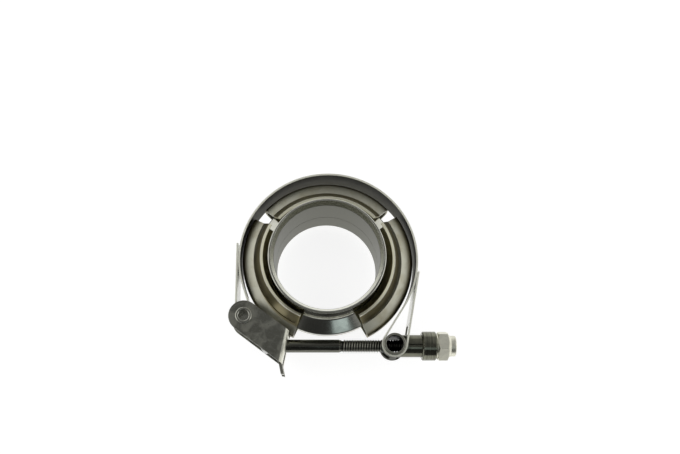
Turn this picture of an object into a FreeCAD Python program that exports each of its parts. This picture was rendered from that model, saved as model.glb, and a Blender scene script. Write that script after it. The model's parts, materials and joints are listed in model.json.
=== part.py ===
"""Quick-release V-band clamp, closed loosely round a pair of weld flanges.

Millimetres, +Z up along the tube's axis. The origin is on the bore's axis, on the plane
where the two flanges meet. The bolt runs along X on the -Y side.
"""

import FreeCAD
import Part

import math
import os

V = FreeCAD.Vector
Z_AXIS = V(0, 0, 1)
X_AXIS = V(1, 0, 0)

# Weld flanges
bore_r = 25.4
neck_wall = 2.6
flange_height = 19.5
rim_width = 10.1
rim_half = 3.0
taper_deg = 20.0
neck_fillet = 1.5
rim_fillet = 0.6
weld_chamfer = 1.5
weld_chamfer_height = 3.0
neck_edge_chamfer = 0.3
joint_chamfer = 0.25
spigot_length = 2.0
spigot_wall = 2.6
spigot_clear = 0.15
recess_extra = 0.3

# Band strap
strap_width = 16.0
strap_t = 0.9
strap_slack = 1.4
band_right = 0.65
band_rise = 1.2
latch_azimuth = 215.14
latch_run = 14.13
trunnion_azimuth = -52.9
trunnion_run = 18.36
left_tail = 7.8
right_tail = 1.7
tail_gap = 0.15
weld_spot_r = 1.4
weld_spot_pitch = 6.0
loop_clear = 0.08

# V retainers
retainer_t = 1.3
crown_gap = 6.0
crown_bend = 1.6
crease_inset = 0.2
crease_bend = 1.0
lip_depth = 3.9
lip_deg = 57.0
bead_r = 0.45
bead_stop_deg = 5.5
top_low_gap = 2.8
top_high_gap = 2.0
right_low_gap = 0.8
right_high_gap = 1.6
left_low_gap = 0.4
left_high_gap = 1.7
top_span_deg = (42.5, 138.2)
right_span_deg = (-62.7, 34.3)
left_span_deg = (149.8, 247.0)

# Latch
latch_t = 1.6
latch_half_width = 7.3
latch_deg = -36.7
latch_side_clear = 0.6
latch_fold_r = 2.2
latch_inner_fold_r = 0.6
latch_reach = 20.4
web_tilt_deg = 11.6
slot_clear = 0.5
slot_top_clear = 0.2
retainer_relief = 0.6
lip_run = 5.0
lip_turn_deg = 23.0
pivot_r = 3.5
pivot_wall = 1.1
pivot_hole_depth = 6.0
pivot_flare = 0.5
pivot_head_h = 0.9
pivot_head_round = 0.5
pivot_fit = 0.03

# Bolt, trunnion, collar and nut
bolt_r = 3.175
head_growth = 0.025
head_side_clear = 1.2
head_round = 0.8
head_gap = 4.8
thread_reach = 25.26
relief_depth = 0.25
relief_width = 0.7
bolt_chamfer = 0.7
bolt_reach = 29.7
barrel_step = 0.25
barrel_wall = 1.1
barrel_overhang = 0.9
sleeve_wall = 2.195
sleeve_length = 13.6
seam_width = 0.4
shaft_fit = 0.08
slot_side_clear = 0.6
swing_max_deg = 25.0
collar_step = 1.6
collar_length = 6.9
collar_chamfer = 0.5
collar_fit = 0.25
nut_wall = 3.275
nut_turn_deg = 16.8
nut_face_step = 0.75
nut_face_t = 0.8
nut_hex_t = 5.0
nut_cone_t = 1.2
nut_crown_step = 1.4
nut_crown_t = 2.5
nut_crown_edge = 0.4
nut_chamfer_deg = 30.0
nut_fit = 0.08

rim_r = bore_r + rim_width
neck_r = bore_r + neck_wall
neck_foot = rim_half + (rim_r - neck_r) * math.tan(math.radians(taper_deg))
crown_r = rim_r + crown_gap
crown_half = rim_half
crease_r = rim_r - crease_inset
lip_r = crease_r - lip_depth
strap_inner_r = crown_r + strap_slack
head_r = bolt_r + head_growth
sleeve_r = bolt_r + shaft_fit + sleeve_wall
barrel_r = sleeve_r - barrel_step
collar_r = sleeve_r + collar_step
nut_flats = 2 * (bolt_r + nut_wall)
nut_face_r = nut_flats / 2 - nut_face_step
nut_crown_r = nut_flats / 2 - nut_crown_step
pivot_hole_r = pivot_r - pivot_wall
pivot_head_r = pivot_r + pivot_flare
band_centre = V(band_right, band_rise, 0)
strap_mid_r = strap_inner_r + strap_t / 2
tail_r = strap_inner_r + 1.5 * strap_t + tail_gap
pivot_loop_r = pivot_r + loop_clear + strap_t / 2
trunnion_loop_r = barrel_r + loop_clear + strap_t / 2
plate_inner_z = strap_width / 2 + latch_side_clear
plate_outer_z = plate_inner_z + latch_t
head_length = 2 * (plate_inner_z - head_side_clear)


def polar(radius, degrees, centre=V(0, 0, 0)):
    """The point at a radius and azimuth from a centre, in the plane z = 0."""
    a = math.radians(degrees)
    return centre + V(radius * math.cos(a), radius * math.sin(a), 0)


def azimuth(vector):
    return math.degrees(math.atan2(vector.y, vector.x))


def loop_centre(loop_r, run, degrees):
    """Where a loop's centre lies when a straight run of the strap joins it to the ring."""
    return polar(math.hypot(strap_mid_r + loop_r, run), degrees, band_centre)


pivot = loop_centre(pivot_loop_r, latch_run, latch_azimuth)
trunnion_pin = loop_centre(trunnion_loop_r, trunnion_run, trunnion_azimuth)
bolt_y = trunnion_pin.y
web_x = pivot.x + latch_reach
thread_start = trunnion_pin.x - thread_reach
bolt_end_x = trunnion_pin.x + bolt_reach


def line(start, end):
    return {"kind": "line", "start": start, "end": end}


def arc(centre, radius, start_deg, sweep_deg):
    return {"kind": "arc", "centre": centre, "radius": radius, "start": start_deg, "sweep": sweep_deg}


def side_edge(piece, offset):
    """The edge that runs beside one piece of a path, an offset to its left."""
    if piece["kind"] == "line":
        along = piece["end"] - piece["start"]
        left = V(-along.y, along.x, 0).normalize() * offset
        return Part.LineSegment(piece["start"] + left, piece["end"] + left).toShape()
    turn = math.copysign(1, piece["sweep"])
    radius = piece["radius"] - turn * offset
    angles = [piece["start"] + piece["sweep"] * share for share in (0, 0.5, 1)]
    points = [polar(radius, a, piece["centre"]) for a in angles]
    return Part.Arc(*points).toShape()


def first_point(edge):
    return edge.valueAt(edge.FirstParameter)


def last_point(edge):
    return edge.valueAt(edge.LastParameter)


def ribbon(path, thickness):
    """The flat face of a sheet's edge, half the thickness to either side of a path."""
    left = [side_edge(piece, thickness / 2) for piece in path]
    right = [side_edge(piece, -thickness / 2) for piece in path]
    caps = [
        Part.LineSegment(first_point(left[0]), first_point(right[0])).toShape(),
        Part.LineSegment(last_point(left[-1]), last_point(right[-1])).toShape(),
    ]
    return Part.Face(Part.Wire(Part.__sortEdges__(left + right + caps)))


def bent_path(points, bends):
    """A path along straight runs, with a bend of its own radius at each inner point."""
    path = []
    start = points[0]
    for before, corner, after, radius in zip(points, points[1:], points[2:], bends):
        into = (corner - before).normalize()
        out = (after - corner).normalize()
        turn = math.degrees(math.atan2(into.x * out.y - into.y * out.x, into.dot(out)))
        reach = radius * math.tan(math.radians(abs(turn)) / 2)
        side = math.copysign(1, turn)
        entry = corner - into * reach
        centre = entry + V(-into.y, into.x, 0) * side * radius
        path.append(line(start, entry))
        path.append(arc(centre, radius, azimuth(entry - centre), turn))
        start = corner + out * reach
    path.append(line(start, points[-1]))
    return path


def tangent(centre_a, turn_a, centre_b, turn_b):
    """The line from one circle to another; a positive radius has its centre on the left."""
    between = centre_b - centre_a
    heading = azimuth(between) - math.degrees(math.asin((turn_b - turn_a) / between.Length))
    normal = polar(1, heading + 90)
    return line(centre_a - normal * turn_a, centre_b - normal * turn_b)


def arc_between(centre, radius, entry, leave, side):
    """The arc round a centre from one point to another, side +1 anticlockwise."""
    start = azimuth(entry - centre)
    sweep = (azimuth(leave - centre) - start) * side % 360
    return arc(centre, radius, start, side * sweep)


def extrude_between(face, low, high):
    moved = face.copy()
    moved.translate(V(0, 0, low))
    return moved.extrude(V(0, 0, high - low))


def disc(radius, length, base, direction):
    return Part.makeCylinder(radius, length, base, direction)


def revolve_profile(points, degrees=360):
    """Turns a closed outline of (radius, height) points about the Z axis."""
    corners = [V(r, 0, z) for r, z in points]
    face = Part.Face(Part.makePolygon(corners + corners[:1]))
    return face.revolve(V(0, 0, 0), Z_AXIS, degrees)


def circle_edges(shape, radius, height, tolerance=1e-4):
    """The round edges of one radius about the Z axis at one height."""
    found = []
    for edge in shape.Edges:
        curve = edge.Curve
        if isinstance(curve, Part.Circle) and abs(curve.Radius - radius) < tolerance:
            if abs(curve.Center.z - height) < tolerance:
                found.append(edge)
    return found


# Flanges

def flange_outline(inner_steps):
    """The half section of a flange, from its joint face up to its welding end."""
    return inner_steps + [
        (rim_r - joint_chamfer, 0),
        (rim_r, joint_chamfer),
        (rim_r, rim_half),
        (neck_r, neck_foot),
        (neck_r, flange_height - neck_edge_chamfer),
        (neck_r - neck_edge_chamfer, flange_height),
        (bore_r + weld_chamfer, flange_height),
        (bore_r, flange_height - weld_chamfer_height),
    ]


def soften_flange(solid):
    solid = solid.makeFillet(neck_fillet, circle_edges(solid, neck_r, neck_foot))
    return solid.makeFillet(rim_fillet, circle_edges(solid, rim_r, rim_half))


def flange_upper():
    """The male flange: a spigot round the bore reaches down into the lower one."""
    spigot_r = bore_r + spigot_wall
    steps = [(bore_r, -spigot_length), (spigot_r, -spigot_length), (spigot_r, 0)]
    return soften_flange(revolve_profile(flange_outline(steps)))


def flange_lower():
    """The female flange, upside down under the joint plane."""
    recess_r = bore_r + spigot_wall + spigot_clear
    depth = spigot_length + recess_extra
    steps = [(bore_r, depth), (recess_r, depth), (recess_r, 0)]
    solid = soften_flange(revolve_profile(flange_outline(steps)))
    solid.rotate(V(0, 0, 0), X_AXIS, 180)
    return solid


# Strap

def strap_path():
    """The strap's middle line, from the tail beside the latch round to the other tail."""
    down = tangent(band_centre, tail_r, pivot, pivot_loop_r)
    join = tangent(pivot, pivot_loop_r, band_centre, -strap_mid_r)
    leave = tangent(band_centre, -strap_mid_r, trunnion_pin, trunnion_loop_r)
    up = tangent(trunnion_pin, trunnion_loop_r, band_centre, tail_r)
    left_way = (down["end"] - down["start"]).normalize()
    right_way = (up["end"] - up["start"]).normalize()
    return [
        line(down["start"] - left_way * left_tail, down["end"]),
        arc_between(pivot, pivot_loop_r, down["end"], join["start"], 1),
        join,
        arc_between(band_centre, strap_mid_r, join["end"], leave["start"], -1),
        leave,
        arc_between(trunnion_pin, trunnion_loop_r, leave["end"], up["start"], 1),
        line(up["start"], up["end"] + right_way * right_tail),
    ]


def weld_spots(touch, outward):
    """Two resistance welds that hold a tail to the ring beside where it touches."""
    inner = touch - outward * (strap_t / 2 + tail_gap + strap_t / 2)
    length = strap_t + tail_gap
    heights = (-weld_spot_pitch / 2, weld_spot_pitch / 2)
    return [disc(weld_spot_r, length, inner + V(0, 0, z), outward) for z in heights]


def sector(centre, radius, start_deg, end_deg, half_height):
    """A pie slice about a centre, as a cutter."""
    base = centre - V(0, 0, half_height)
    slice_ = Part.makeCylinder(radius, 2 * half_height, base, Z_AXIS, end_deg - start_deg)
    slice_.rotate(centre, Z_AXIS, start_deg)
    return slice_


def strap_slots():
    """Openings in the trunnion's loop, long enough for the bolt's swing."""
    loop_inner = barrel_r + loop_clear
    reach = loop_inner + 4 * strap_t
    shank_half = bolt_r + slot_side_clear
    shank_deg = math.degrees(math.asin(shank_half / loop_inner))
    shank = sector(trunnion_pin, reach, 180 - shank_deg, 180 + shank_deg + swing_max_deg, shank_half)
    sleeve_half = sleeve_r + slot_side_clear
    low = trunnion_pin + V(0, -sleeve_half, -sleeve_half)
    sleeve = Part.makeBox(3 * barrel_r, 2 * sleeve_half, 2 * sleeve_half, low)
    swung = sleeve.copy()
    swung.rotate(trunnion_pin, Z_AXIS, swing_max_deg)
    return [shank, sleeve, swung]


def band_strap():
    strap = extrude_between(ribbon(strap_path(), strap_t), -strap_width / 2, strap_width / 2)
    strap = strap.cut(strap_slots())
    down = tangent(band_centre, tail_r, pivot, pivot_loop_r)
    up = tangent(trunnion_pin, trunnion_loop_r, band_centre, tail_r)
    spots = []
    for touch in (down["start"], up["end"]):
        spots += weld_spots(touch, (touch - band_centre).normalize())
    return strap.fuse(spots).removeSplitter()


# Retainers

def retainer_section():
    """The bent sheet's section: a flat crown, two tapered flanks and two flared lips."""
    crown_mid = crown_r - retainer_t / 2
    crease_z = crown_half + (crown_mid - crease_r) * math.tan(math.radians(taper_deg))
    lip_z = crease_z + (crease_r - lip_r) * math.tan(math.radians(lip_deg))
    half = [V(crown_mid, crown_half, 0), V(crease_r, crease_z, 0), V(lip_r, lip_z, 0)]
    points = [V(p.x, -p.y, 0) for p in reversed(half)] + half
    bends = [crease_bend, crown_bend, crown_bend, crease_bend]
    face = ribbon(bent_path(points, bends), retainer_t)
    face.rotate(V(0, 0, 0), X_AXIS, 90)
    return face, crease_z


def end_seat(span, low_gap, high_gap):
    """Centre of a retainer's arc that leaves a stated gap to the strap at each end."""
    first, second = polar(1, span[0]), polar(1, span[1])
    want_first = strap_inner_r - low_gap - crown_r
    want_second = strap_inner_r - high_gap - crown_r
    det = first.x * second.y - first.y * second.x
    x = (want_first * second.y - want_second * first.y) / det
    y = (first.x * want_second - second.x * want_first) / det
    return band_centre + V(x, y, 0)


def bead(start_deg, sweep_deg, height):
    """A round-ended groove along a retainer's crease."""
    ring = Part.makeTorus(crease_r, bead_r, V(0, 0, height), Z_AXIS, 0, 360, sweep_deg)
    ring.rotate(V(0, 0, 0), Z_AXIS, start_deg)
    ends = [polar(crease_r, a) + V(0, 0, height) for a in (start_deg, start_deg + sweep_deg)]
    return [ring] + [Part.makeSphere(bead_r, end) for end in ends]


def retainer(span, centre):
    low, high = span
    section, crease_z = retainer_section()
    solid = section.revolve(V(0, 0, 0), Z_AXIS, high - low)
    solid.rotate(V(0, 0, 0), Z_AXIS, low)
    surface = retainer_t / 2 / math.cos(math.radians(taper_deg))
    for side in (-1, 1):
        height = side * (crease_z + surface)
        solid = solid.cut(bead(low + bead_stop_deg, high - low - 2 * bead_stop_deg, height))
    solid.translate(centre)
    return solid


# Latch

def web_point(along, outward=0.0):
    """A point by the latch's web: along it from the bolt's axis, and out from its outer face."""
    a = math.radians(web_tilt_deg)
    down = V(-math.sin(a), -math.cos(a), 0)
    out = V(math.cos(a), -math.sin(a), 0)
    return V(web_x, bolt_y, 0) + down * along + out * outward


def meet(point, way, other, other_way):
    """Where two lines in the plane cross."""
    gap = other - point
    det = way.x * other_way.y - way.y * other_way.x
    return point + way * ((gap.x * other_way.y - gap.y * other_way.x) / det)


def latch_plate_face():
    """The side plate in plan: a parallel strip, round at the pivot and cut by the web."""
    way = polar(1, latch_deg)
    side = polar(latch_half_width, latch_deg + 90)
    web_way = web_point(1) - web_point(0)
    upper = meet(pivot + side, way, web_point(0), web_way)
    lower = meet(pivot - side, way, web_point(0), web_way)
    edges = [
        Part.LineSegment(pivot + side, upper).toShape(),
        Part.LineSegment(upper, lower).toShape(),
        Part.LineSegment(lower, pivot - side).toShape(),
        Part.Arc(pivot - side, pivot - way * latch_half_width, pivot + side).toShape(),
    ]
    return Part.Face(Part.Wire(edges)), upper, lower


def web_slab(start, end, inner, outer, low, high):
    """A block that lies along the web."""
    corners = [web_point(start, inner), web_point(end, inner), web_point(end, outer), web_point(start, outer)]
    face = Part.Face(Part.makePolygon(corners + corners[:1]))
    return extrude_between(face, low, high)


def fold_edges(solid, height, outward):
    """The straight edges that run along the web at one height, on one of its faces."""
    along = web_point(1) - web_point(0)
    face_point = web_point(0, outward)
    normal = web_point(0, 1) - web_point(0)
    found = []
    for edge in solid.Edges:
        middle = edge.CenterOfMass
        on_face = abs((middle - face_point).dot(normal)) < 1e-3
        if on_face and abs(middle.z - height) < 1e-3:
            ends = edge.Vertexes[-1].Point - edge.Vertexes[0].Point
            if abs(abs(ends.normalize().dot(along)) - 1) < 1e-6:
                found.append(edge)
    return found


def latch_lips(lower):
    """The flared ends of the web's two tines, which lead the bolt's head in."""
    start = lower
    web_way = web_point(1) - web_point(0)
    heading = azimuth(web_way) + lip_turn_deg
    inner = start + (web_point(0, -latch_t) - web_point(0))
    tip_outer = start + polar(lip_run, heading)
    tip_inner = inner + polar(lip_run, heading)
    back = web_way * -latch_t
    corners = [start + back, start, tip_outer, tip_inner, inner, inner + back]
    return Part.Face(Part.makePolygon(corners + corners[:1]))


def latch_bracket():
    """One folded sheet: two side plates joined by a web with an open-ended slot."""
    plate, upper, lower = latch_plate_face()
    body = extrude_between(plate, -plate_outer_z, plate_outer_z)
    reach = 4 * latch_half_width
    hollow = web_slab(-reach, reach, -2 * reach, -latch_t, -plate_inner_z, plate_inner_z)
    for z in (-plate_inner_z, plate_inner_z):
        hollow = hollow.makeFillet(latch_inner_fold_r, fold_edges(hollow, z, -latch_t))
    body = body.cut(hollow)
    for z in (-plate_outer_z, plate_outer_z):
        body = body.makeFillet(latch_fold_r, fold_edges(body, z, 0))
    tine_z = plate_inner_z - latch_inner_fold_r
    lips = extrude_between(latch_lips(lower), -tine_z, tine_z)
    body = body.fuse(lips)
    slot_half = bolt_r + slot_clear
    top = -(bolt_r / math.cos(math.radians(web_tilt_deg)) + slot_top_clear)
    slot = web_slab(top + slot_half, reach, -reach / 2, reach / 2, -slot_half, slot_half)
    across = web_point(top + slot_half, -reach / 2)
    out = web_point(0, 1) - web_point(0)
    body = body.cut([slot, disc(slot_half, reach, across, out)])
    left = end_seat(left_span_deg, left_low_gap, left_high_gap)
    clear_r = crown_r + retainer_relief
    tine = disc(clear_r, 2 * tine_z, left - V(0, 0, tine_z), Z_AXIS)
    body = body.cut(tine)
    holes = disc(pivot_r + pivot_fit, 2 * plate_outer_z, pivot - V(0, 0, plate_outer_z), Z_AXIS)
    return body.cut(holes).removeSplitter()


def latch_pivot():
    """A semi-tubular rivet through the latch's plates and the strap's loop, hollow at the top."""
    top = plate_outer_z + pivot_head_h
    pin = disc(pivot_r, 2 * top, pivot - V(0, 0, top), Z_AXIS)
    for z, way in ((plate_outer_z, 1), (-plate_outer_z, -1)):
        head = disc(pivot_head_r, pivot_head_h, pivot + V(0, 0, z), V(0, 0, way))
        rim = [e for e in head.Edges if abs(e.CenterOfMass.z - way * top) < 1e-3 and e.Closed]
        pin = pin.fuse(head.makeFillet(pivot_head_round, rim))
    hole = disc(pivot_hole_r, pivot_hole_depth, pivot + V(0, 0, top - pivot_hole_depth), Z_AXIS)
    pin = pin.cut(hole).removeSplitter()
    return pin.makeFillet(pivot_wall / 2, circle_edges(pin, pivot_hole_r, top))


# Bolt, trunnion, collar and nut

def along_bolt(x):
    return V(x, bolt_y, 0)


def rod(radius, start, end):
    return disc(radius, end - start, along_bolt(start), X_AXIS)


sleeve_end = trunnion_pin.x + sleeve_length
collar_end = sleeve_end + collar_length
head_x = web_x - latch_t / math.cos(math.radians(web_tilt_deg)) - head_gap - head_r


def turned(points):
    """Turns a closed outline of (x, radius) points about the bolt's axis."""
    corners = [V(x, bolt_y + r, 0) for x, r in points]
    face = Part.Face(Part.makePolygon(corners + corners[:1]))
    return face.revolve(along_bolt(0), X_AXIS, 360)


def t_bolt():
    """The T bolt: a plain shank to the thread's relief, then the threaded length."""
    relief_r = bolt_r - relief_depth
    shaft = turned([
        (head_x, 0),
        (head_x, bolt_r),
        (thread_start - relief_width - relief_depth, bolt_r),
        (thread_start - relief_width, relief_r),
        (thread_start, relief_r),
        (thread_start + relief_depth, bolt_r),
        (bolt_end_x - bolt_chamfer, bolt_r),
        (bolt_end_x, bolt_r - bolt_chamfer),
        (bolt_end_x, 0),
    ])
    head = disc(head_r, head_length, along_bolt(head_x) - V(0, 0, head_length / 2), Z_AXIS)
    head = head.makeFillet(head_round, [e for e in head.Edges if e.Closed])
    return shaft.fuse(head).removeSplitter()


def trunnion():
    """Rolled sheet: a barrel across the strap's loop, and a seamed sleeve for the bolt."""
    barrel_half = strap_width / 2 + barrel_overhang
    barrel = disc(barrel_r, 2 * barrel_half, trunnion_pin - V(0, 0, barrel_half), Z_AXIS)
    solid = barrel.fuse(rod(sleeve_r, trunnion_pin.x, sleeve_end))
    inside = disc(barrel_r - barrel_wall, 2 * barrel_half, trunnion_pin - V(0, 0, barrel_half), Z_AXIS)
    passage = rod(bolt_r + shaft_fit, trunnion_pin.x - 2 * barrel_r, sleeve_end)
    seam_low = trunnion_pin + V(barrel_r, -seam_width / 2, 0)
    seam = Part.makeBox(sleeve_length, seam_width, 2 * sleeve_r, seam_low)
    return solid.cut([inside, passage, seam]).removeSplitter()


def collar():
    """The plain ring between the trunnion's sleeve and the nut."""
    inner = bolt_r + collar_fit
    return turned([
        (sleeve_end, inner),
        (sleeve_end, collar_r - collar_chamfer),
        (sleeve_end + collar_chamfer, collar_r),
        (collar_end - collar_chamfer, collar_r),
        (collar_end, collar_r - collar_chamfer),
        (collar_end, inner),
    ])


def lock_nut():
    """An all-metal lock nut with a washer face, a hexagon and a closed-in crown."""
    corner_r = nut_flats / math.sqrt(3)
    hex_start = collar_end + nut_face_t
    hex_end = hex_start + nut_hex_t
    cone_end = hex_end + nut_cone_t
    crown_end = cone_end + nut_crown_t
    inner = bolt_r + nut_fit
    bevel = (corner_r - nut_flats / 2) * math.tan(math.radians(nut_chamfer_deg))
    corners = []
    for k in range(6):
        a = math.radians(90 + nut_turn_deg + 60 * k)
        corners.append(V(hex_start, bolt_y + corner_r * math.cos(a), corner_r * math.sin(a)))
    hexagon = Part.Face(Part.makePolygon(corners + corners[:1])).extrude(X_AXIS * nut_hex_t)
    rounding = turned([
        (hex_start, 0),
        (hex_start, nut_flats / 2),
        (hex_start + bevel, corner_r),
        (hex_end - bevel, corner_r),
        (hex_end, nut_flats / 2),
        (hex_end, 0),
    ])
    crown = turned([
        (collar_end, inner),
        (collar_end, nut_face_r),
        (hex_start, nut_face_r),
        (hex_end, nut_flats / 2 - nut_crown_edge),
        (cone_end, nut_crown_r),
        (crown_end - nut_crown_edge, nut_crown_r),
        (crown_end, nut_crown_r - nut_crown_edge),
        (crown_end, inner),
    ])
    hole = rod(inner, collar_end, crown_end)
    return hexagon.common(rounding).cut(hole).fuse(crown).removeSplitter()


def build():
    return {
        "flange_upper": flange_upper(),
        "flange_lower": flange_lower(),
        "band_strap": band_strap(),
        "retainer_top": retainer(top_span_deg, end_seat(top_span_deg, top_low_gap, top_high_gap)),
        "retainer_right": retainer(right_span_deg, end_seat(right_span_deg, right_low_gap, right_high_gap)),
        "retainer_left": retainer(left_span_deg, end_seat(left_span_deg, left_low_gap, left_high_gap)),
        "latch_bracket": latch_bracket(),
        "latch_pivot": latch_pivot(),
        "t_bolt": t_bolt(),
        "trunnion": trunnion(),
        "collar": collar(),
        "lock_nut": lock_nut(),
    }


os.makedirs("parts", exist_ok=True)
for name, shape in build().items():
    shape.exportStep("parts/" + name + ".step")
    box = shape.BoundBox
    low = f"{box.XMin:7.2f} {box.YMin:7.2f} {box.ZMin:7.2f}"
    high = f"{box.XMax:7.2f} {box.YMax:7.2f} {box.ZMax:7.2f}"
    print(f"{name:15s} valid {shape.isValid()} solids {len(shape.Solids)} from {low} to {high}")
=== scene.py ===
"""Looks of a quick-release V-band clamp: finishes, a threaded bolt, stage and camera.

Metres. The frame's origin is on the bore's axis, in the plane where the flanges meet.
"""

import json
import math

import bmesh
import bpy
from bpy.props import FloatProperty, FloatVectorProperty, IntProperty, PointerProperty
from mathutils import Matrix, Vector


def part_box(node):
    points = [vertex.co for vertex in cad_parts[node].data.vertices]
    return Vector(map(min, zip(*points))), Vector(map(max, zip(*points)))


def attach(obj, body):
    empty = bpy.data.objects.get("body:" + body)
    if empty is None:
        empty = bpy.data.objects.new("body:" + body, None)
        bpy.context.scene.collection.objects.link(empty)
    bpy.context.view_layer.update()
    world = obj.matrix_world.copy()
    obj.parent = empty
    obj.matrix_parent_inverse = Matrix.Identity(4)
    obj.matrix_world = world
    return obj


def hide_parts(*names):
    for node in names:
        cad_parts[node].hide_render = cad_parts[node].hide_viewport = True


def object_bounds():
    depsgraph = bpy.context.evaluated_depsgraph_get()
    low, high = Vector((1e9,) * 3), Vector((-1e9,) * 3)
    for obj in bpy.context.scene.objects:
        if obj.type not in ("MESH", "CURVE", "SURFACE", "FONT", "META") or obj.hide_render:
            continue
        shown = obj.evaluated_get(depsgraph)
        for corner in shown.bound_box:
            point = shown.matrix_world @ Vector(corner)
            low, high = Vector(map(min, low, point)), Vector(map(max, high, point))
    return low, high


bl_info = {
    "name": "V-band clamp",
    "version": (1, 0, 0),
    "blender": (4, 5, 0),
    "location": "3D View > Sidebar > Clamp",
    "description": "Finishes, bolt thread and stage for a quick-release V-band clamp",
    "category": "Object",
}

MM = 0.001

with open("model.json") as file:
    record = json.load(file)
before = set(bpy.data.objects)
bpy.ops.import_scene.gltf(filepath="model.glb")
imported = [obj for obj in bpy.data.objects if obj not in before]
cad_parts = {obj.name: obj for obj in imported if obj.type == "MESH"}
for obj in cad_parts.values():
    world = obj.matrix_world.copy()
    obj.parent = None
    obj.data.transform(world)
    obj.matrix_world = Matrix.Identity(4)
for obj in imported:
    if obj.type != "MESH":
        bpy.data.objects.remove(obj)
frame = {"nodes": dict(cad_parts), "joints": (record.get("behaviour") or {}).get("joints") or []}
nodes = frame["nodes"]
whole_box = [list(corner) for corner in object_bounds()]


def joint_place(name):
    """A joint's position in the row frame."""
    return next(Vector(j["pos_m"]) for j in frame["joints"] if j["name"] == name)


BOLT_LOW, BOLT_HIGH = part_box("t_bolt")
TRUNNION = joint_place("bolt_swing")
BOLT_AXIS_Y = TRUNNION.y
FLOOR_Z = whole_box[0][2]
SHANK_R = 3.175 * MM
HEAD_R = 3.2 * MM
RELIEF_DEPTH = 0.25 * MM
ROOT_STEP = 0.1 * MM
RING_CENTRE = Vector((0.65, 1.2, 0.0)) * MM
RING_INNER_R = 42.9 * MM
# The way the latch's web faces; faces turned this way get a painted highlight.
WEB_TILT = math.radians(11.6)
WEB_OUT = (math.cos(WEB_TILT), -math.sin(WEB_TILT), 0.0)

# Distances from an axis over which a mask goes from none to full. The masks place painted shade on
# the bore, the strap's inner face, the loop, the lips, the outer bend and the trunnion's hollow,
# and a painted highlight on the chamfers; some also set roughness.
BORE_FADE = (25.6 * MM, 25.45 * MM)
CHAMFER_FADE = (27.0 * MM, 26.8 * MM)
STRAP_INNER_FADE = (RING_INNER_R + 0.35 * MM, RING_INNER_R + 0.15 * MM)
LOOP_INNER_FADE = (7.4 * MM, 6.6 * MM)
LIP_FADE = (35.6 * MM, 34.8 * MM)
OUTER_BEND_FADE = (38.8 * MM, 41.0 * MM)
HOLLOW_FADE = (4.25 * MM, 4.10 * MM)

# The thread's section as shares of its pitch, and how it is turned to stand on the rod
ROOT_SHARE = 0.84
CREST_SHARE = 0.24
SECTION_TURN = math.radians(90)
CREASE = math.radians(35)
THREAD_END_GAP = 0.5 * MM
THREAD_SINK = 0.02 * MM

SOFT_BOX_SIZE = (1.1, 0.8)
PANEL_SIZE = (0.19, 0.30)


# Properties

def length_mm(name, description, default):
    """A length that the panel shows in the scene's own units."""
    return FloatProperty(
        name=name, description=description, default=default * MM, unit="LENGTH", min=0.0,
        precision=5,
    )


def share(name, description, default):
    """A value from none to all."""
    return FloatProperty(
        name=name, description=description, default=default, min=0.0, max=1.0, subtype="FACTOR",
    )


def tint(name, description, default):
    """A colour of bare metal."""
    return FloatVectorProperty(
        name=name, description=description, default=default, size=3, min=0.0, max=1.0,
        subtype="COLOR",
    )


class ClampSteel(bpy.types.PropertyGroup):
    """Colours and polish of the clamp's steels."""

    flange_tint: tint("Flange", "Colour of the turned flanges", (0.66, 0.66, 0.58))
    # The bore colour is painted shade: it darkens the bore wall to stand in for the shade inside
    # the bore.
    bore_shade_tint: tint("Bore", "Colour of the satin bore wall", (0.138, 0.138, 0.108))
    # The chamfer colour is a painted highlight on the bore's chamfers.
    chamfer_highlight_tint: tint("Chamfer", "Colour of the bore's chamfers", (0.82, 0.82, 0.72))
    strap_tint: tint("Strap", "Colour of the polished strap", (0.36, 0.36, 0.30))
    # The strap edge colour is a painted highlight on the strap's slit edges.
    strap_edge_highlight_tint: tint("Strap edges", "Colour of the strap's slit edges", (0.86, 0.86, 0.76))
    # The strap inside colour is painted shade on the inner face of the ring and of the loop round
    # the trunnion.
    strap_inner_shade_tint: tint("Strap inside", "Colour of the dull inner face", (0.046, 0.045, 0.030))
    retainer_tint: tint("Retainers", "Colour of the pressed retainers", (0.46, 0.455, 0.375))
    # The lips' colour is painted shade on the lips and the outer bend, and also the tone of random
    # browner patches.
    retainer_shade_and_patch_tint: tint("Retainer lips", "Browner colour of the lips", (0.31, 0.275, 0.165))
    # The edge colour is a painted highlight on the retainers' cut edges.
    cut_edge_highlight_tint: tint("Retainer edges", "Colour of the bright cut edges", (0.96, 0.94, 0.80))
    latch_tint: tint("Latch", "Colour of the latch's plates", (0.42, 0.42, 0.36))
    # The web colour is a painted highlight on the latch's faces turned the web's way.
    web_highlight_tint: tint("Latch web", "Colour of the latch's rubbed web", (0.80, 0.79, 0.68))
    pivot_tint: tint("Rivet", "Colour of the tubular rivet", (0.46, 0.46, 0.40))
    bolt_tint: tint("Bolt", "Colour of the bolt", (0.16, 0.16, 0.135))
    trunnion_tint: tint("Trunnion", "Colour of the rolled trunnion", (0.17, 0.17, 0.13))
    # The trunnion rim colour is a painted highlight on the barrel's ends.
    rim_highlight_tint: tint("Trunnion rim", "Colour of the barrel's rubbed ends", (0.50, 0.50, 0.42))
    collar_tint: tint("Collar", "Colour of the turned collar", (0.20, 0.20, 0.155))
    nut_tint: tint("Nut", "Colour of the lock nut", (0.80, 0.79, 0.67))
    edge_radius: length_mm("Edge softness", "Radius of the softened edges", 0.16)
    polish: share("Polish roughness", "Roughness of the best polished steel", 0.09)
    satin: share("Satin roughness", "Roughness of the satin steel", 0.30)


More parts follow.
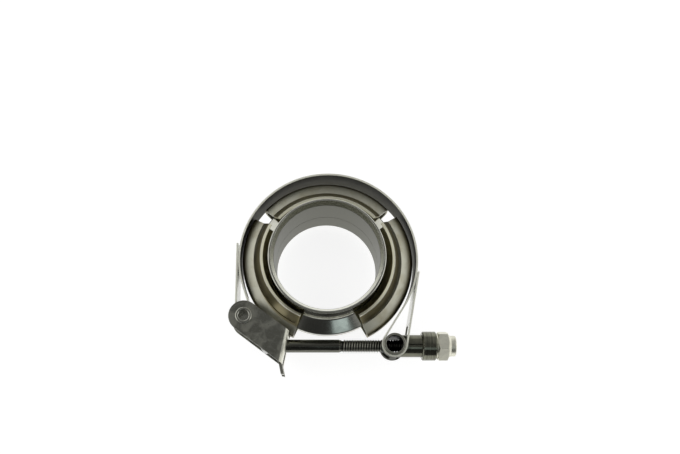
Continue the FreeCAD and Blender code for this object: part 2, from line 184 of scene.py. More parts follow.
class ClampThread(bpy.types.PropertyGroup):
    """The T bolt's sizes."""

    pitch: length_mm("Pitch", "Advance of the thread in one turn", 25.4 / 20)
    depth: length_mm("Depth", "Height of the thread from root to crest", 0.62)
    relief_length: length_mm("Relief", "Length of the groove where the thread starts", 0.7)
    thread_length: length_mm("Thread", "Length of the threaded end", 54.96)
    head_round: length_mm("Head rounding", "Radius at the T head's ends", 0.8)
    end_chamfer: length_mm("End chamfer", "Chamfer on the bolt's end", 0.7)
    steps: IntProperty(
        name="Steps a turn", description="Points of the thread in one turn", default=30, min=8,
    )


class ClampStage(bpy.types.PropertyGroup):
    """Floor, lamps and camera."""

    floor_size: FloatProperty(
        name="Floor", description="Side of the floor", default=4.0, unit="LENGTH",
    )
    lamp_watts: FloatProperty(
        name="Lamps", description="Power of each soft box", default=1.2, unit="POWER",
    )
    panel_watts: FloatProperty(
        name="Front panel", description="Power of the dim front panel", default=0.12, unit="POWER",
    )
    camera_place: FloatVectorProperty(
        name="Camera place", description="Where the camera stands",
        default=(-3.7 * MM, -89.3 * MM, 359.6 * MM), size=3, subtype="TRANSLATION",
        unit="LENGTH", precision=5,
    )
    camera_tilt: FloatProperty(
        name="Camera tilt", description="Angle from straight down",
        default=math.radians(12.0), subtype="ANGLE",
    )
    camera_lens: FloatProperty(
        name="Lens", description="Focal length in millimetres", default=39.45,
    )
    camera_shift: FloatVectorProperty(
        name="Lens shift", description="Sideways and upward shift of the lens",
        default=(0.0305, 0.0930), size=2,
    )


# Shader building

def fill(tree, made, sockets):
    """Links or sets sockets, each given by name, with _ for a space, or as s0, s1 by number."""
    for key, value in sockets.items():
        by_number = key[1:].isdigit()
        socket = made.inputs[int(key[1:])] if by_number else made.inputs[key.replace("_", " ")]
        if isinstance(value, bpy.types.NodeSocket):
            tree.links.new(value, socket)
        else:
            socket.default_value = value
    return made


def new_node(tree, kind, settings=None, **sockets):
    """Adds a node of any tree."""
    made = tree.nodes.new(kind)
    for key, value in (settings or {}).items():
        setattr(made, key, value)
    return fill(tree, made, sockets)


def add(tree, kind, settings=None, **sockets):
    """Adds a shader node."""
    return new_node(tree, "ShaderNode" + kind, settings, **sockets)


def maths(tree, operation, first, second=0.0, third=0.0):
    """The result of a Math node."""
    return add(tree, "Math", {"operation": operation}, s0=first, s1=second, s2=third).outputs[0]


def vector(tree, operation, first, second=(0.0, 0.0, 0.0)):
    """The result of a Vector Math node."""
    return add(tree, "VectorMath", {"operation": operation}, s0=first, s1=second).outputs[0]


def ramp(tree, value, low, high, to_low=0.0, to_high=1.0):
    """A smooth step of a value from one range to another."""
    return add(
        tree, "MapRange", {"interpolation_type": "SMOOTHSTEP"},
        Value=value, From_Min=low, From_Max=high, To_Min=to_low, To_Max=to_high,
    ).outputs[0]


def axis_distance(tree, place, centre=(0.0, 0.0, 0.0)):
    """Distance of a place from the upright line through a centre."""
    level = vector(tree, "MULTIPLY", vector(tree, "SUBTRACT", place, centre), (1.0, 1.0, 0.0))
    return add(tree, "VectorMath", {"operation": "LENGTH"}, s0=level).outputs["Value"]


def mixed(tree, factor, first, second):
    """A colour between two others."""
    return add(tree, "Mix", {"data_type": "RGBA"}, s0=factor, s6=first, s7=second).outputs[2]


def blended(tree, factor, first, second):
    """A number between two others."""
    return add(tree, "Mix", {"data_type": "FLOAT"}, s0=factor, s2=first, s3=second).outputs[0]


def new_group(name, inputs, outputs):
    """An empty node group with named float or vector sockets; returns it with its ends."""
    group = bpy.data.node_groups.new(name, "ShaderNodeTree")
    for label, default in inputs.items():
        kind = "NodeSocketVector" if default is None else "NodeSocketFloat"
        socket = group.interface.new_socket(label, in_out="INPUT", socket_type=kind)
        if default is not None:
            socket.default_value = default
    for label in outputs:
        group.interface.new_socket(label, in_out="OUTPUT", socket_type="NodeSocketFloat")
    start = group.nodes.new("NodeGroupInput")
    end = group.nodes.new("NodeGroupOutput")
    return group, start, end


def turning_lines_group():
    """Fine rings left by a lathe round the Z axis of the given coordinates."""
    group, start, end = new_group(
        "Turning lines", {"Vector": None, "Lines per mm": 4.0, "Waver": 0.15}, ["Lines", "Bands"]
    )
    parts = add(group, "SeparateXYZ", s0=start.outputs["Vector"]).outputs
    radius = axis_distance(group, start.outputs["Vector"])
    density = maths(group, "MULTIPLY", start.outputs["Lines per mm"], 1.0 / MM)
    along_r = maths(group, "MULTIPLY", radius, density)
    along_z = maths(group, "MULTIPLY", parts[2], density)
    angle = maths(group, "ARCTAN2", parts[1], parts[0])
    turn = maths(group, "MULTIPLY", angle, start.outputs["Waver"])
    place = add(group, "CombineXYZ", s0=along_r, s1=along_z, s2=turn).outputs[0]
    fine = add(group, "TexNoise", Vector=place, Scale=1.0, Detail=2.0)
    wide = add(group, "TexNoise", Vector=place, Scale=0.17, Detail=1.0)
    group.links.new(fine.outputs[0], end.inputs["Lines"])
    group.links.new(wide.outputs[0], end.inputs["Bands"])
    return group


def drawn_grain_group():
    """Long thin grain along the Z axis of the given coordinates."""
    group, start, end = new_group(
        "Drawn grain", {"Vector": None, "Grains per mm": 6.0, "Stretch": 0.03}, ["Grain"]
    )
    density = maths(group, "MULTIPLY", start.outputs["Grains per mm"], 1.0 / MM)
    lengthwise = maths(group, "MULTIPLY", density, start.outputs["Stretch"])
    scale = add(group, "CombineXYZ", s0=density, s1=density, s2=lengthwise).outputs[0]
    place = vector(group, "MULTIPLY", start.outputs["Vector"], scale)
    grain = add(group, "TexNoise", Vector=place, Scale=1.0, Detail=3.0, Roughness=0.6)
    group.links.new(grain.outputs[0], end.inputs["Grain"])
    return group


def handling_group():
    """Uneven polish: cloudy patches, small specks and sparse hairline scratches."""
    group, start, end = new_group(
        "Handling marks", {"Vector": None, "Patch mm": 6.0}, ["Clouds", "Specks", "Scratches"]
    )
    place = start.outputs["Vector"]
    size = maths(group, "DIVIDE", 1.0 / MM, start.outputs["Patch mm"])
    clouds = add(group, "TexNoise", Vector=place, Scale=size, Detail=3.0, Distortion=0.6)
    speck_scale = maths(group, "MULTIPLY", size, 14.0)
    specks = add(group, "TexNoise", Vector=place, Scale=speck_scale, Detail=2.0)
    scratches = None
    for turn, tilt in ((0.4, 0.3), (1.5, -0.5), (2.6, 0.9)):
        turned = add(
            group, "Mapping", {"vector_type": "POINT"},
            Vector=place, Rotation=(tilt, tilt * 0.7, turn), Scale=(5200.0, 180.0, 260.0),
        ).outputs[0]
        hair = add(group, "TexNoise", Vector=turned, Scale=1.0, Detail=0.0).outputs[0]
        line = ramp(group, hair, 0.68, 0.74)
        scratches = line if scratches is None else maths(group, "MAXIMUM", scratches, line)
    group.links.new(clouds.outputs[0], end.inputs["Clouds"])
    group.links.new(ramp(group, specks.outputs[0], 0.60, 0.72), end.inputs["Specks"])
    group.links.new(scratches, end.inputs["Scratches"])
    return group


EFFECTS = {}


def effect(tree, name, **sockets):
    """Places one of the shared effect groups in a material."""
    made = tree.nodes.new("ShaderNodeGroup")
    made.node_tree = EFFECTS[name]
    return fill(tree, made, sockets).outputs


def colour(rgb, strength=1.0):
    """A tint, made lighter or darker, as a socket takes it."""
    return tuple(c * strength for c in rgb) + (1.0,)


class Finish:
    """A steel material under construction: its coordinates, masks, bump and shader."""

    def __init__(self, name, origin=(0, 0, 0), axis="Z", edge=1.0):
        self.material = bpy.data.materials.new(name)
        self.material.use_nodes = True
        self.tree = self.material.node_tree
        self.tree.nodes.clear()
        steel = bpy.context.scene.clamp_steel
        coords = add(self.tree, "TexCoord").outputs["Object"]
        turn = {"Z": (0, 0, 0), "X": (0, math.radians(-90), 0)}[axis]
        self.place = coords
        moved = vector(self.tree, "SUBTRACT", coords, tuple(origin))
        self.centred = add(self.tree, "Mapping", Vector=moved, Rotation=turn).outputs[0]
        radius = steel.edge_radius * edge
        self.soft_edge = add(self.tree, "Bevel", {"samples": 6}, Radius=radius).outputs[0]
        self.marks = effect(self.tree, "Handling marks", Vector=self.place)

    def shaded(self, value, fade, rgb, strengths):
        """A tint that goes from one strength to another as a value rises."""
        first, second = strengths
        mask = ramp(self.tree, value, *fade)
        return mixed(self.tree, mask, colour(rgb, first), colour(rgb, second))

    def height(self):
        """Distance above or below the middle plane."""
        upward = add(self.tree, "SeparateXYZ", s0=self.place).outputs[2]
        return maths(self.tree, "ABSOLUTE", upward)

    def bump(self, height, distance):
        """A normal raised by a height, over the softened edges."""
        return add(
            self.tree, "Bump", Height=height, Distance=distance, Strength=1.0, Normal=self.soft_edge
        ).outputs[0]

    def close(self, base, roughness, normal):
        """Ends the material in a metal shader."""
        surface = add(
            self.tree, "BsdfPrincipled", Base_Color=base, Metallic=1.0, Roughness=roughness,
            Normal=normal,
        )
        add(self.tree, "OutputMaterial", Surface=surface.outputs[0])
        return self.material


def dress(node, material):
    """Gives a carried-over CAD node its finish."""
    mesh = nodes[node].data
    mesh.materials.clear()
    mesh.materials.append(material)


# Finishes

def flange_finish():
    """Turned and polished steel outside; a painted highlight on the bore's chamfers, and a satin
    bore whose colour is darkened with painted shade.
    """
    steel = bpy.context.scene.clamp_steel
    f = Finish("Turned flange steel")
    lines = effect(f.tree, "Turning lines", Vector=f.centred, Lines_per_mm=5.0)
    radius = axis_distance(f.tree, f.centred)
    in_bore = ramp(f.tree, radius, *BORE_FADE)
    chamfer = ramp(f.tree, radius, *CHAMFER_FADE)
    base = f.shaded(f.marks["Clouds"], (0.35, 0.7), steel.flange_tint, (1.0, 0.82))
    # Painted highlight: the chamfers take a lighter colour.
    base = mixed(f.tree, chamfer, base, colour(steel.chamfer_highlight_tint))
    # Painted shade: the bore wall takes the dark bore colour.
    base = mixed(f.tree, in_bore, base, colour(steel.bore_shade_tint))
    polished = maths(f.tree, "MULTIPLY_ADD", f.marks["Clouds"], 0.10, steel.polish - 0.02)
    rough = blended(f.tree, in_bore, blended(f.tree, chamfer, polished, 0.24), 0.42)
    return f.close(base, rough, f.bump(lines["Lines"], 0.0012 * MM))


def strap_finish():
    """Rolled strap: polished outside, a painted highlight on the slit edges, and a rougher inner
    face darkened with painted shade.
    """
    steel = bpy.context.scene.clamp_steel
    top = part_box("band_strap")[1].z
    f = Finish("Polished strap steel", edge=2.6)
    lines = effect(f.tree, "Turning lines", Vector=f.centred, Lines_per_mm=3.0)
    edge = ramp(f.tree, f.height(), top - 0.40 * MM, top - 0.12 * MM)
    in_ring = ramp(f.tree, axis_distance(f.tree, f.place, tuple(RING_CENTRE)), *STRAP_INNER_FADE)
    in_loop = ramp(f.tree, axis_distance(f.tree, f.place, tuple(TRUNNION)), *LOOP_INNER_FADE)
    inner = maths(f.tree, "MAXIMUM", in_ring, in_loop)
    base = f.shaded(f.marks["Clouds"], (0.35, 0.75), steel.strap_tint, (1.0, 0.8))
    # Painted shade: the inner faces of the ring and the loop take a near-black colour.
    base = mixed(f.tree, inner, base, colour(steel.strap_inner_shade_tint))
    # Painted highlight: the top and bottom of the strap's edges take a near-white colour.
    base = mixed(f.tree, edge, base, colour(steel.strap_edge_highlight_tint))
    rough = maths(f.tree, "MULTIPLY_ADD", f.marks["Clouds"], 0.12, steel.polish)
    dull = maths(f.tree, "MULTIPLY", maths(f.tree, "MAXIMUM", inner, edge), 0.42)
    rough = maths(f.tree, "ADD", rough, dull)
    relief = maths(f.tree, "SUBTRACT", lines["Lines"], f.marks["Scratches"])
    return f.close(base, rough, f.bump(relief, 0.0012 * MM))


def retainer_finish():
    """Pressed sheet: satin flanks, painted shade on the outer bend and the lips along with random
    browner patches, and a painted highlight on the cut edges.
    """
    steel = bpy.context.scene.clamp_steel
    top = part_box("retainer_top")[1].z
    f = Finish("Pressed retainer steel", edge=1.6)
    lines = effect(f.tree, "Turning lines", Vector=f.centred, Lines_per_mm=1.2, Waver=0.6)
    radius = axis_distance(f.tree, f.centred)
    lip = ramp(f.tree, radius, *LIP_FADE)
    outer = ramp(f.tree, radius, *OUTER_BEND_FADE)
    # Painted shade on the lips and the outer bend; the cloudy patches below are random tone.
    shade_and_patches = maths(f.tree, "MAXIMUM", lip, maths(f.tree, "MULTIPLY", outer, 0.8))
    patchy = ramp(f.tree, f.marks["Clouds"], 0.42, 0.75, 0.0, 0.45)
    shade_and_patches = maths(f.tree, "MAXIMUM", shade_and_patches, patchy)
    base = mixed(f.tree, shade_and_patches, colour(steel.retainer_tint), colour(steel.retainer_shade_and_patch_tint))
    # Painted highlight: the top of the retainers takes a near-white colour.
    cut = ramp(f.tree, f.height(), top - 0.75 * MM, top - 0.55 * MM)
    base = mixed(f.tree, cut, base, colour(steel.cut_edge_highlight_tint))
    satin = maths(f.tree, "MULTIPLY_ADD", f.marks["Clouds"], 0.12, steel.satin)
    satin = maths(f.tree, "MULTIPLY_ADD", lines["Bands"], 0.10, satin)
    return f.close(base, satin, f.bump(lines["Bands"], 0.004 * MM))


def latch_finish():
    """Dark satin plate with a mottled, handled surface, and a painted highlight on the faces turned
    the web's way.
    """
    steel = bpy.context.scene.clamp_steel
    f = Finish("Satin latch steel")
    base = f.shaded(f.marks["Clouds"], (0.40, 0.62), steel.latch_tint, (1.0, 0.50))
    specks = maths(f.tree, "MULTIPLY", f.marks["Specks"], 0.5)
    base = mixed(f.tree, specks, base, colour(steel.latch_tint, 1.35))
    # Painted highlight: faces turned the web's way take a light colour.
    facing = add(f.tree, "NewGeometry").outputs["Normal"]
    outward = add(
        f.tree, "VectorMath", {"operation": "DOT_PRODUCT"}, s0=facing, s1=WEB_OUT
    ).outputs["Value"]
    base = mixed(f.tree, ramp(f.tree, outward, 0.45, 0.85), base, colour(steel.web_highlight_tint))
    rough = maths(f.tree, "MULTIPLY_ADD", f.marks["Clouds"], 0.16, steel.satin - 0.08)
    relief = maths(f.tree, "MULTIPLY_ADD", f.marks["Clouds"], 3.0, f.marks["Specks"])
    return f.close(base, rough, f.bump(relief, 0.006 * MM))


def pivot_finish():
    """Polished tubular rivet."""
    steel = bpy.context.scene.clamp_steel
    low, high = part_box("latch_pivot")
    f = Finish("Polished rivet steel", origin=(low + high) / 2)
    lines = effect(f.tree, "Turning lines", Vector=f.centred, Lines_per_mm=6.0)
    base = f.shaded(lines["Bands"], (0.35, 0.7), steel.pivot_tint, (1.0, 0.8))
    rough = maths(f.tree, "MULTIPLY_ADD", lines["Bands"], 0.12, steel.polish + 0.02)
    return f.close(base, rough, f.bump(lines["Lines"], 0.0012 * MM))


def bolt_finish():
    """Dark drawn steel with grain along the shank; the thread has a painted highlight on its crests
    and painted shade in its roots, and its crests keep no highlight from the trunnion on.
    """
    steel = bpy.context.scene.clamp_steel
    t = bpy.context.scene.clamp_thread
    f = Finish("Drawn bolt steel", origin=(0, BOLT_AXIS_Y, 0), axis="X")
    grain = effect(f.tree, "Drawn grain", Vector=f.centred, Grains_per_mm=5.0, Stretch=0.02)
    base = f.shaded(grain["Grain"], (0.4, 0.65), steel.bolt_tint, (0.7, 1.25))
    along = add(f.tree, "SeparateXYZ", s0=f.centred).outputs[2]
    radius = axis_distance(f.tree, f.centred)
    thread_x = BOLT_HIGH.x - t.thread_length
    threaded = ramp(f.tree, along, thread_x, thread_x + ROOT_STEP)
    # Painted shade: from the trunnion on, the crests stay as dark as the roots.
    before_trunnion = ramp(f.tree, along, TRUNNION.x - 5.2 * MM, TRUNNION.x - 6.0 * MM)
    crest = ramp(f.tree, radius, SHANK_R - 0.9 * t.depth, SHANK_R - 0.1 * t.depth)
    crest = maths(f.tree, "MULTIPLY", crest, before_trunnion)
    # Painted highlight on the crests and painted shade in the roots.
    thread = mixed(f.tree, crest, colour(steel.bolt_tint, 0.30), colour(steel.bolt_tint, 1.5))
    base = mixed(f.tree, threaded, base, thread)
    rough = maths(f.tree, "MULTIPLY_ADD", grain["Grain"], 0.16, 0.10)
    return f.close(base, rough, f.bump(grain["Grain"], 0.012 * MM))


def trunnion_finish():
    """Rolled steel with a painted highlight on the barrel's ends and painted shade in its hollow.
    """
    steel = bpy.context.scene.clamp_steel
    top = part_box("trunnion")[1].z
    f = Finish("Rolled trunnion steel", origin=(0, BOLT_AXIS_Y, 0), axis="X", edge=2.0)
    grain = effect(f.tree, "Drawn grain", Vector=f.centred, Grains_per_mm=3.0, Stretch=0.05)
    # Painted shade: the barrel's inner wall is painted near black; it is also made rougher.
    hollow = ramp(f.tree, axis_distance(f.tree, f.place, tuple(TRUNNION)), *HOLLOW_FADE)
    rim = ramp(f.tree, f.height(), top - 0.5 * MM, top - 0.2 * MM)
    base = f.shaded(f.marks["Clouds"], (0.35, 0.7), steel.trunnion_tint, (1.0, 0.7))
    # Painted highlight: the barrel's ends take a lighter colour.
    base = mixed(f.tree, rim, base, colour(steel.rim_highlight_tint))
    base = mixed(f.tree, hollow, base, colour(steel.trunnion_tint, 0.12))
    rough = maths(f.tree, "MULTIPLY_ADD", f.marks["Clouds"], 0.14, 0.12)
    rough = maths(f.tree, "MAXIMUM", rough, maths(f.tree, "MULTIPLY", hollow, 0.5))
    return f.close(base, rough, f.bump(grain["Grain"], 0.006 * MM))


def collar_finish():
    """Turned ring whose lathe lines still show."""
    steel = bpy.context.scene.clamp_steel
    f = Finish("Turned collar steel", origin=(0, BOLT_AXIS_Y, 0), axis="X")
    lines = effect(f.tree, "Turning lines", Vector=f.centred, Lines_per_mm=2.4, Waver=0.05)
    base = f.shaded(lines["Lines"], (0.38, 0.62), steel.collar_tint, (0.6, 1.2))
    rough = maths(f.tree, "MULTIPLY_ADD", lines["Lines"], 0.12, 0.12)
    return f.close(base, rough, f.bump(lines["Lines"], 0.03 * MM))


def nut_finish():
    """Light satin nut."""
    steel = bpy.context.scene.clamp_steel
    f = Finish("Satin nut steel", origin=(0, BOLT_AXIS_Y, 0), axis="X")
    base = f.shaded(f.marks["Clouds"], (0.35, 0.7), steel.nut_tint, (1.0, 0.8))
    specks = maths(f.tree, "MULTIPLY", f.marks["Specks"], 0.4)
    base = mixed(f.tree, specks, base, colour(steel.nut_tint, 0.5))
    rough = maths(f.tree, "MULTIPLY_ADD", f.marks["Clouds"], 0.14, 0.32)
    return f.close(base, rough, f.bump(f.marks["Specks"], 0.01 * MM))


# Meshes

def turn_outline(made, outline, point, steps):
    """Adds the faces of a closed outline turned about an axis that it starts and ends on."""
    rings = []
    for along, radius in outline:
        count = steps if radius > 0 else 1
        angles = [2 * math.pi * k / steps for k in range(count)]
        rings.append([
            made.verts.new(point(along, radius * math.cos(a), radius * math.sin(a)))
            for a in angles
        ])
    for one, two in zip(rings, rings[1:]):
        for k in range(steps):
            n = (k + 1) % steps
            corners = (one[k % len(one)], one[n % len(one)], two[n % len(two)], two[k % len(two)])
            made.faces.new(list(dict.fromkeys(corners)))


def finished(name, made):
    """Turns a bmesh into an object with smooth faces and crisp edges."""
    mesh = bpy.data.meshes.new(name)
    made.to_mesh(mesh)
    made.free()
    piece = bpy.data.objects.new(name, mesh)
    bpy.context.scene.collection.objects.link(piece)
    mesh.shade_smooth()
    mesh.set_sharp_from_angle(angle=CREASE)
    return piece


def thread_tree():
    """Geometry nodes that wind a screw thread round the X direction and join it to the rod."""
    tree = bpy.data.node_groups.new("Screw thread", "GeometryNodeTree")
    tree.interface.new_socket("Rod", in_out="INPUT", socket_type="NodeSocketGeometry")
    inputs = {}
    for label, kind in (
        ("Pitch", "Float"), ("Turns", "Float"), ("Root radius", "Float"), ("Depth", "Float"),
        ("Steps a turn", "Int"), ("Start", "Vector"), ("Steel", "Material"),
    ):
        socket = tree.interface.new_socket(
            label, in_out="INPUT", socket_type="NodeSocket" + kind
        )
        inputs[label] = socket.identifier
    tree.interface.new_socket("Bolt", in_out="OUTPUT", socket_type="NodeSocketGeometry")
    start = tree.nodes.new("NodeGroupInput").outputs
    end = tree.nodes.new("NodeGroupOutput")

    length = maths(tree, "MULTIPLY", start["Pitch"], start["Turns"])
    half_depth = maths(tree, "MULTIPLY", start["Depth"], 0.5)
    middle = maths(tree, "ADD", start["Root radius"], half_depth)
    winding = new_node(
        tree, "GeometryNodeCurveSpiral", Resolution=start["Steps a turn"],
        Rotations=start["Turns"], Start_Radius=middle, End_Radius=middle, Height=length,
    )
    upright = new_node(
        tree, "GeometryNodeSetCurveNormal", {"mode": "Z_UP"}, Curve=winding.outputs[0]
    )
    section = new_node(
        tree, "GeometryNodeCurvePrimitiveQuadrilateral", {"mode": "TRAPEZOID"},
        Bottom_Width=maths(tree, "MULTIPLY", start["Pitch"], ROOT_SHARE),
        Top_Width=maths(tree, "MULTIPLY", start["Pitch"], CREST_SHARE),
        Height=start["Depth"], Offset=0.0,
    )
    turned = new_node(
        tree, "GeometryNodeTransform", Geometry=section.outputs[0],
        Rotation=(0.0, 0.0, SECTION_TURN),
    )
    ridge = new_node(
        tree, "GeometryNodeCurveToMesh", Curve=upright.outputs[0],
        Profile_Curve=turned.outputs[0], Fill_Caps=True,
    )
    laid = new_node(
        tree, "GeometryNodeTransform", Geometry=ridge.outputs[0], Translation=start["Start"],
        Rotation=(0.0, math.radians(90), 0.0),
    )
    joined = new_node(tree, "GeometryNodeJoinGeometry")
    tree.links.new(laid.outputs[0], joined.inputs[0])
    tree.links.new(start["Rod"], joined.inputs[0])
    real = new_node(tree, "GeometryNodeRealizeInstances", Geometry=joined.outputs[0])
    steel = new_node(
        tree, "GeometryNodeSetMaterial", Geometry=real.outputs[0], Material=start["Steel"]
    )
    tree.links.new(steel.outputs[0], end.inputs[0])
    return tree, inputs


def plain_mesh(piece, tree, values):
    """Runs a geometry nodes tree on a piece and keeps its result as a plain mesh."""
    modifier = piece.modifiers.new(tree.name, "NODES")
    modifier.node_group = tree
    for identifier, value in values.items():
        modifier[identifier] = value
    bpy.context.view_layer.update()
    graph = bpy.context.evaluated_depsgraph_get()
    result = bpy.data.meshes.new_from_object(piece.evaluated_get(graph))
    piece.modifiers.remove(modifier)
    piece.data = result
    return piece


def bolt_rod():
    """The bolt without its thread: T head, shank, relief groove and the thread's core."""
    t = bpy.context.scene.clamp_thread
    head_half = (BOLT_HIGH.z - BOLT_LOW.z) / 2
    head_x = BOLT_LOW.x + HEAD_R
    thread_x = BOLT_HIGH.x - t.thread_length
    root = SHANK_R - t.depth
    relief_r = SHANK_R - RELIEF_DEPTH
    half_chamfer = t.end_chamfer * 0.5
    shank = [
        (head_x, 0),
        (head_x, SHANK_R),
        (thread_x - t.relief_length - RELIEF_DEPTH, SHANK_R),
        (thread_x - t.relief_length, relief_r),
        (thread_x, relief_r),
        (thread_x + ROOT_STEP, root),
        (BOLT_HIGH.x - half_chamfer, root),
        (BOLT_HIGH.x, root - half_chamfer),
        (BOLT_HIGH.x, 0),
    ]
    quarter = [math.radians(15 * k) for k in range(7)]
    round_r = t.head_round
    corner_r, corner_z = HEAD_R - round_r, head_half - round_r
    upper = [(corner_z + round_r * math.sin(a), corner_r + round_r * math.cos(a)) for a in quarter]
    head = [(-z, r) for z, r in reversed(upper)] + upper
    made = bmesh.new()
    turn_outline(made, shank, lambda x, y, z: (x, BOLT_AXIS_Y + y, z), 64)
    turn_outline(
        made, [(-head_half, 0), *head, (head_half, 0)],
        lambda z, x, y: (head_x + x, BOLT_AXIS_Y + y, z), 56,
    )
    bmesh.ops.recalc_face_normals(made, faces=made.faces)
    return finished("threaded_bolt", made), thread_x, root


# Operators

class CLAMP_OT_flanges(bpy.types.Operator):
    """Finish the male and female weld flanges"""

    bl_idname = "clamp.flanges"
    bl_label = "Flanges"

    def execute(self, context):
        finish = flange_finish()
        dress("flange_upper", finish)
        dress("flange_lower", finish)
        return {"FINISHED"}


class CLAMP_OT_band(bpy.types.Operator):
    """Finish the strap and the three V retainers"""

    bl_idname = "clamp.band"
    bl_label = "Strap and retainers"

    def execute(self, context):
        dress("band_strap", strap_finish())
        finish = retainer_finish()
        for name in ("retainer_top", "retainer_right", "retainer_left"):
            dress(name, finish)
        return {"FINISHED"}


class CLAMP_OT_latch(bpy.types.Operator):
    """Finish the latch and its tubular rivet"""

    bl_idname = "clamp.latch"
    bl_label = "Latch"

    def execute(self, context):
        dress("latch_bracket", latch_finish())
        dress("latch_pivot", pivot_finish())
        return {"FINISHED"}


class CLAMP_OT_bolt(bpy.types.Operator):
    """Make the T bolt with its screw thread"""

    bl_idname = "clamp.bolt"
    bl_label = "Bolt"

    def execute(self, context):
        t = context.scene.clamp_thread
        rod, thread_x, root = bolt_rod()
        tree, ids = thread_tree()
        turns = (t.thread_length - THREAD_END_GAP) / t.pitch - 0.9
        finish = bolt_finish()
        bolt = plain_mesh(rod, tree, {
            ids["Pitch"]: t.pitch, ids["Turns"]: turns, ids["Depth"]: t.depth,
            ids["Root radius"]: root - THREAD_SINK, ids["Steps a turn"]: t.steps,
            ids["Start"]: (thread_x + 0.55 * t.pitch, BOLT_AXIS_Y, 0.0), ids["Steel"]: finish,
        })
        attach(bolt, "bolt")
        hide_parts("t_bolt")
        return {"FINISHED"}


class CLAMP_OT_trunnion(bpy.types.Operator):
    """Finish the rolled trunnion and the collar"""

    bl_idname = "clamp.trunnion"
    bl_label = "Trunnion and collar"

    def execute(self, context):
        dress("trunnion", trunnion_finish())
        dress("collar", collar_finish())
        return {"FINISHED"}


class CLAMP_OT_nut(bpy.types.Operator):
    """Finish the lock nut"""

    bl_idname = "clamp.nut"
    bl_label = "Lock nut"

    def execute(self, context):
        dress("lock_nut", nut_finish())
        return {"FINISHED"}


def floor_material():
    """White paper floor that stays white in reflections and keeps a soft shadow."""
    material = bpy.data.materials.new("White floor")
    material.use_nodes = True
    tree = material.node_tree
    tree.nodes.clear()
    rays = add(tree, "LightPath").outputs
    seen = maths(tree, "MAXIMUM", rays["Is Camera Ray"], rays["Is Glossy Ray"])
    seen = maths(tree, "MAXIMUM", seen, rays["Is Transmission Ray"])
    strength = maths(tree, "MULTIPLY", seen, 0.86)
    glow = add(tree, "Emission", Color=(1, 1, 1, 1), Strength=strength).outputs[0]
    paper = add(tree, "BsdfDiffuse", Color=(0.36, 0.36, 0.36, 1)).outputs[0]
    both = add(tree, "AddShader", s0=glow, s1=paper).outputs[0]
    add(tree, "OutputMaterial", Surface=both)
    return material


def studio_world():
    """White ground and bright low walls in reflections, a dim ceiling; plain white when seen."""
    world = bpy.data.worlds.new("Studio")
    world.use_nodes = True
    bpy.context.scene.world = world
    tree = world.node_tree
    tree.nodes.clear()
    way = add(tree, "TexCoord").outputs["Generated"]
    x, y, z = add(tree, "SeparateXYZ", s0=way).outputs
    sideways = maths(tree, "MULTIPLY", maths(tree, "ABSOLUTE", x), -0.60)
    lean = ramp(tree, x, -0.45, -0.10, -0.10, 0.45)
    behind = maths(tree, "MULTIPLY", maths(tree, "MAXIMUM", y, 0.0), lean)
    rise = maths(tree, "ADD", maths(tree, "ADD", z, sideways), behind)
    walls = ramp(tree, rise, 0.72, 0.52, 0.0, 0.95)
    walls = maths(tree, "MULTIPLY", walls, ramp(tree, y, -0.60, -0.25, 0.08, 1.0))
    ground = ramp(tree, z, 0.10, 0.0)
    front = ramp(tree, y, -0.50, -0.15, 0.03, 0.17)
    back = ramp(tree, y, 0.10, 0.75, 0.0, 0.18)
    lit = maths(tree, "MAXIMUM", ground, walls)
    level = maths(tree, "MAXIMUM", lit, maths(tree, "ADD", front, back))
    seen = add(tree, "LightPath").outputs["Is Camera Ray"]
    level = maths(tree, "MAXIMUM", level, seen)
    background = add(tree, "Background", Color=(1, 1, 1, 1), Strength=level).outputs[0]
    add(tree, "OutputWorld", Surface=background)


def soft_box(name, place, size, watts, rgb=(1, 1, 1)):
    """A rectangular lamp aimed at the origin."""
    lamp = bpy.data.lights.new(name, "AREA")
    lamp.shape = "RECTANGLE"
    lamp.size, lamp.size_y = size
    lamp.energy = watts
    lamp.color = rgb
    made = bpy.data.objects.new(name, lamp)
    bpy.context.scene.collection.objects.link(made)
    made.location = place
    made.rotation_euler = (-Vector(place)).to_track_quat("-Z", "Y").to_euler()


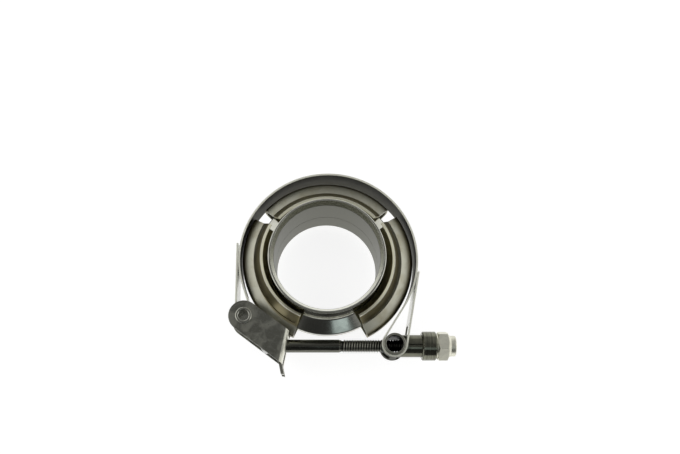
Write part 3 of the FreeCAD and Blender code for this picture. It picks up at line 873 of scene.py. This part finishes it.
class CLAMP_OT_stage(bpy.types.Operator):
    """Lay the floor, hang the lamps and place the camera"""

    bl_idname = "clamp.stage"
    bl_label = "Stage"

    def execute(self, context):
        s = context.scene.clamp_stage
        half = s.floor_size / 2
        made = bmesh.new()
        corners = ((-half, -half), (half, -half), (half, half), (-half, half))
        made.faces.new([made.verts.new((x, y, FLOOR_Z)) for x, y in corners])
        floor = finished("floor", made)
        floor.data.materials.append(floor_material())
        studio_world()
        soft_box("lamp_left", (-0.80, 0.12, 0.80), SOFT_BOX_SIZE, s.lamp_watts)
        soft_box("lamp_right", (0.80, 0.08, 0.80), SOFT_BOX_SIZE, s.lamp_watts)
        soft_box(
            "lamp_front", (0.165, -0.48, 0.86), PANEL_SIZE, s.panel_watts, rgb=(0.80, 0.95, 1.0)
        )
        camera_data = bpy.data.cameras.new("camera")
        camera_data.lens = s.camera_lens
        camera_data.shift_x, camera_data.shift_y = s.camera_shift
        camera = bpy.data.objects.new("camera", camera_data)
        context.scene.collection.objects.link(camera)
        camera.location = s.camera_place
        camera.rotation_euler = (s.camera_tilt, 0, 0)
        context.scene.camera = camera
        context.scene.view_settings.view_transform = "Standard"
        return {"FINISHED"}


class CLAMP_PT_panel(bpy.types.Panel):
    """Lists the clamp's pieces and their sizes"""

    bl_idname = "CLAMP_PT_panel"
    bl_label = "V-band clamp"
    bl_space_type = "VIEW_3D"
    bl_region_type = "UI"
    bl_category = "Clamp"

    def draw(self, context):
        layout = self.layout
        scene = context.scene
        for title, group in (
            ("Steel", scene.clamp_steel), ("Bolt", scene.clamp_thread),
            ("Stage", scene.clamp_stage),
        ):
            box = layout.box()
            box.label(text=title)
            for key in group.bl_rna.properties.keys():
                if key not in ("rna_type", "name"):
                    box.prop(group, key)
        for operator in OPERATORS:
            layout.operator(operator.bl_idname)


GROUPS = {"clamp_steel": ClampSteel, "clamp_thread": ClampThread, "clamp_stage": ClampStage}
OPERATORS = (
    CLAMP_OT_flanges, CLAMP_OT_band, CLAMP_OT_latch, CLAMP_OT_bolt, CLAMP_OT_trunnion,
    CLAMP_OT_nut, CLAMP_OT_stage,
)


def register():
    for name, group in GROUPS.items():
        bpy.utils.register_class(group)
        setattr(bpy.types.Scene, name, PointerProperty(type=group))
    for operator in OPERATORS:
        bpy.utils.register_class(operator)
    bpy.utils.register_class(CLAMP_PT_panel)


def unregister():
    bpy.utils.unregister_class(CLAMP_PT_panel)
    for operator in reversed(OPERATORS):
        bpy.utils.unregister_class(operator)
    for name, group in GROUPS.items():
        delattr(bpy.types.Scene, name)
        bpy.utils.unregister_class(group)


def main():
    register()
    EFFECTS["Turning lines"] = turning_lines_group()
    EFFECTS["Drawn grain"] = drawn_grain_group()
    EFFECTS["Handling marks"] = handling_group()
    bpy.ops.clamp.flanges()
    bpy.ops.clamp.band()
    bpy.ops.clamp.latch()
    bpy.ops.clamp.bolt()
    bpy.ops.clamp.trunnion()
    bpy.ops.clamp.nut()
    bpy.ops.clamp.stage()


if __name__ == "__main__":
    main()
